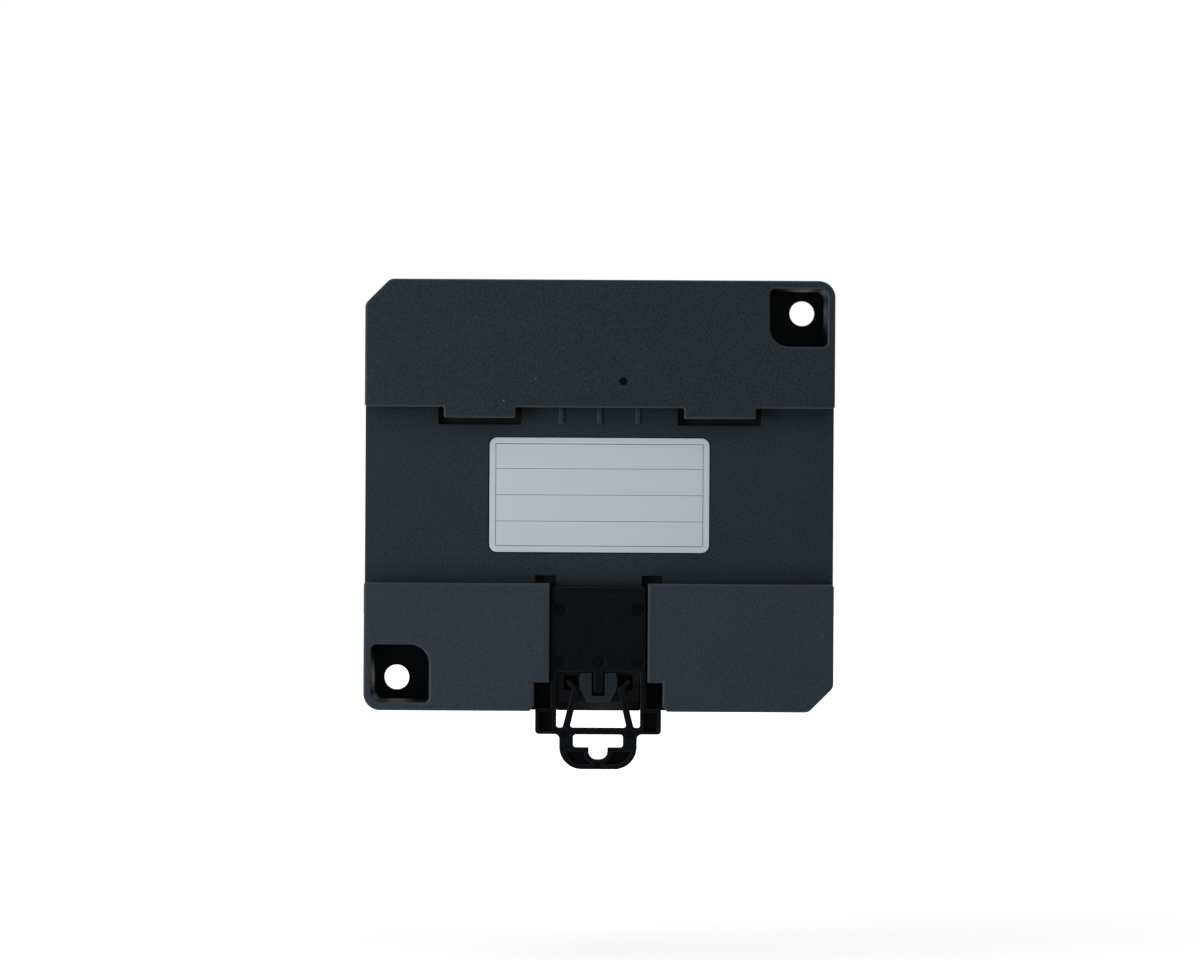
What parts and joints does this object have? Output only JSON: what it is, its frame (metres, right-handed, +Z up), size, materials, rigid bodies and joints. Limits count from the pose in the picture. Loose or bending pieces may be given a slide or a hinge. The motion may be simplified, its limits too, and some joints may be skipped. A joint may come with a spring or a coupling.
{
  "type": "rail-mounted energy monitor",
  "caption": "Flat slate-grey electronics case that clips to a mounting rail, with a black sprung latch at its foot, hook tabs, screw wells and terminals for wires and sensors.",
  "frame": {"origin": "centre of the rail seat, on the level that the rail's flanges rest against", "axes": "+X along the rail, to the right seen from the room; +Y towards the wall; +Z up"},
  "size_m": [0.098, 0.0388, 0.1021],
  "materials": {
    "case_plastic": "fine spark-eroded slate grey",
    "latch_nylon": "satin black nylon",
    "silver_film": "satin silver polyester film",
    "overlay_film": "fine matt polyester film",
    "mylar": "black insulating film",
    "laminate": "solder-masked laminate",
    "screw_steel": "zinc-plated",
    "brass_turned": "turned brass",
    "tinned_copper": "bright tin",
    "terminal_plastic": "moulded polyamide",
    "socket_plastic": "moulded polyester",
    "ferrite": "sintered ferrite",
    "winding_tape": "yellow polyester tape",
    "enamelled_copper": "enamelled copper wire",
    "can_aluminium": "sleeved can",
    "chip_epoxy": "moulded epoxy",
    "fuse_ceramic": "fired ceramic with tinned caps",
    "varistor_epoxy": "dipped epoxy",
    "resistor_chip": "thick-film chip",
    "shield_steel": "tinned steel",
    "light_pipe": "clear acrylic",
    "led_lens": "clear epoxy",
    "button_plastic": "fine matt",
    "switch_body": "moulded polyester",
    "switch_plunger": "moulded polyamide"
  },
  "bodies": {
    "housing": {"rear_housing": "case_plastic", "front_cover": "case_plastic", "front_overlay": "overlay_film", "rating_plate": "silver_film", "insulating_sheet": "mylar", "main_board": "laminate", "main_board_screws": "screw_steel", "board_spacers": "brass_turned", "spacer_screws": "screw_steel", "control_board": "laminate", "control_board_screws": "screw_steel", "link_base": "socket_plastic", "link_socket": "socket_plastic", "link_pins": "tinned_copper", "terminal_body": "terminal_plastic", "terminal_contacts": "tinned_copper", "sensor_socket_pins": "tinned_copper", "transformer_core": "ferrite", "transformer_winding": "winding_tape", "bulk_capacitors": "can_aluminium", "bridge_rectifier": "chip_epoxy", "line_fuse": "fuse_ceramic", "fuse_clips": "tinned_copper", "surge_varistors": "varistor_epoxy", "choke_core": "ferrite", "choke_windings": "enamelled_copper", "metering_chip": "chip_epoxy", "burden_resistors": "resistor_chip", "processor_chip": "chip_epoxy", "radio_board": "laminate", "radio_shield": "shield_steel", "antenna_board": "laminate", "reserve_capacitor": "can_aluminium", "status_leds": "led_lens", "light_pipes": "light_pipe", "setup_switch": "switch_body", "reset_switch": "switch_body", "sensor_socket_1": "socket_plastic", "sensor_socket_2": "socket_plastic", "sensor_socket_3": "socket_plastic", "sensor_socket_4": "socket_plastic"},
    "latch": {"din_latch": "latch_nylon"},
    "setup_button": {"setup_button": "button_plastic"},
    "setup_plunger": {"setup_plunger": "switch_plunger"},
    "reset_plunger": {"reset_plunger": "switch_plunger"},
    "terminal_screw_1": {"terminal_screw_1": "screw_steel"},
    "terminal_clamp_1": {"terminal_clamp_1": "screw_steel"},
    "terminal_screw_2": {"terminal_screw_2": "screw_steel"},
    "terminal_clamp_2": {"terminal_clamp_2": "screw_steel"},
    "terminal_screw_3": {"terminal_screw_3": "screw_steel"},
    "terminal_clamp_3": {"terminal_clamp_3": "screw_steel"},
    "terminal_screw_4": {"terminal_screw_4": "screw_steel"},
    "terminal_clamp_4": {"terminal_clamp_4": "screw_steel"}
  },
  "joints": [
    {"name": "latch_slide", "type": "slide", "parent": "housing", "child": "latch", "axis": [0, 0, 1], "range_m": [0, 0.0053]},
    {"name": "setup_press", "type": "slide", "parent": "housing", "child": "setup_button", "axis": [0, 1, 0], "range_m": [0, 0.00025], "stiffness_N_per_m": 400},
    {"name": "setup_plunger_slide", "type": "slide", "parent": "housing", "child": "setup_plunger", "axis": [0, 1, 0], "range_m": [0, 0.00025]},
    {"name": "reset_press", "type": "slide", "parent": "housing", "child": "reset_plunger", "axis": [0, -1, 0], "range_m": [0, 0.00025], "stiffness_N_per_m": 400},
    {"name": "terminal_turn_1", "type": "hinge", "parent": "housing", "child": "terminal_screw_1", "pos_m": [-0.01143, -0.015, -0.0367], "axis": [0, 1, 0], "range_deg": [0, 1441]},
    {"name": "terminal_rise_1", "type": "slide", "parent": "housing", "child": "terminal_clamp_1", "axis": [0, -1, 0], "range_m": [0, 0.002]},
    {"name": "terminal_turn_2", "type": "hinge", "parent": "housing", "child": "terminal_screw_2", "pos_m": [-0.00381, -0.015, -0.0367], "axis": [0, 1, 0], "range_deg": [0, 1441]},
    {"name": "terminal_rise_2", "type": "slide", "parent": "housing", "child": "terminal_clamp_2", "axis": [0, -1, 0], "range_m": [0, 0.002]},
    {"name": "terminal_turn_3", "type": "hinge", "parent": "housing", "child": "terminal_screw_3", "pos_m": [0.00381, -0.015, -0.0367], "axis": [0, 1, 0], "range_deg": [0, 1441]},
    {"name": "terminal_rise_3", "type": "slide", "parent": "housing", "child": "terminal_clamp_3", "axis": [0, -1, 0], "range_m": [0, 0.002]},
    {"name": "terminal_turn_4", "type": "hinge", "parent": "housing", "child": "terminal_screw_4", "pos_m": [0.01143, -0.015, -0.0367], "axis": [0, 1, 0], "range_deg": [0, 1441]},
    {"name": "terminal_rise_4", "type": "slide", "parent": "housing", "child": "terminal_clamp_4", "axis": [0, -1, 0], "range_m": [0, 0.002]}
  ],
  "couplings": [
    {"joint": "setup_plunger_slide", "follows": "setup_press", "ratio": 1},
    {"joint": "terminal_turn_1", "follows": "terminal_rise_1", "rad_per_m": 12566},
    {"joint": "terminal_turn_2", "follows": "terminal_rise_2", "rad_per_m": 12566},
    {"joint": "terminal_turn_3", "follows": "terminal_rise_3", "rad_per_m": 12566},
    {"joint": "terminal_turn_4", "follows": "terminal_rise_4", "rad_per_m": 12566}
  ]
}
